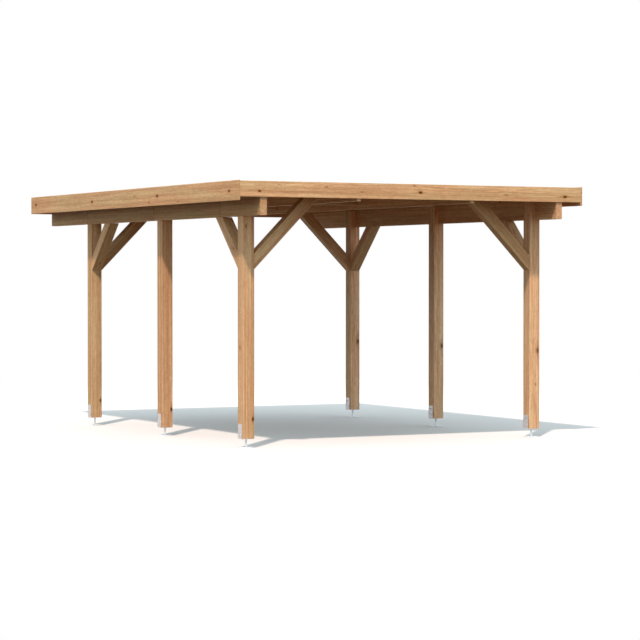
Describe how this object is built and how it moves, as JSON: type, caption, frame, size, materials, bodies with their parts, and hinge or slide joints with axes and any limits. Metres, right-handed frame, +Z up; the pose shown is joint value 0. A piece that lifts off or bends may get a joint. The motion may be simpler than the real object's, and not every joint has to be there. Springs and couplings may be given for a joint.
{
  "type": "flat-roofed timber carport",
  "caption": "Open timber carport: braced posts in steel shoes carry side beams, cross-beams and a flat roof with board fascias.",
  "frame": {"origin": "on the ground under the middle of the roof outline", "axes": "+X to the right seen from the front, +Y from the front to the back, +Z up"},
  "size_m": [3.86, 5.48, 2.552],
  "materials": {
    "post_wood": "planed softwood, stained light brown",
    "brace_wood": "planed softwood, stained light brown",
    "beam_wood": "planed glued softwood, stained light brown",
    "frame_wood": "planed softwood, stained light brown",
    "fascia_wood": "planed softwood board, stained light brown",
    "deck_wood": "planed softwood boards, seen from below",
    "galvanised_steel": "hot-dip galvanised",
    "roof_membrane": "dark roofing membrane, matt"
  },
  "bodies": {
    "root": {"post_front_left": "post_wood", "post_middle_left": "post_wood", "post_rear_left": "post_wood", "post_shoe_front_left": "galvanised_steel", "post_shoe_middle_left": "galvanised_steel", "post_shoe_rear_left": "galvanised_steel", "brace_across_front_left": "brace_wood", "brace_along_front_left": "brace_wood", "brace_across_rear_left": "brace_wood", "brace_along_rear_left": "brace_wood", "side_beam_left": "beam_wood", "edge_plate_left": "frame_wood", "roof_joist_left": "frame_wood", "fascia_left": "fascia_wood", "post_front_right": "post_wood", "post_middle_right": "post_wood", "post_rear_right": "post_wood", "post_shoe_front_right": "galvanised_steel", "post_shoe_middle_right": "galvanised_steel", "post_shoe_rear_right": "galvanised_steel", "brace_across_front_right": "brace_wood", "brace_along_front_right": "brace_wood", "brace_across_rear_right": "brace_wood", "brace_along_rear_right": "brace_wood", "side_beam_right": "beam_wood", "edge_plate_right": "frame_wood", "roof_joist_right": "frame_wood", "fascia_right": "fascia_wood", "cross_beam_front": "frame_wood", "cross_beam_middle": "frame_wood", "cross_beam_rear": "frame_wood", "fascia_front": "fascia_wood", "fascia_rear": "fascia_wood", "roof_deck": "deck_wood", "roof_covering": "roof_membrane"}
  },
  "joints": []
}
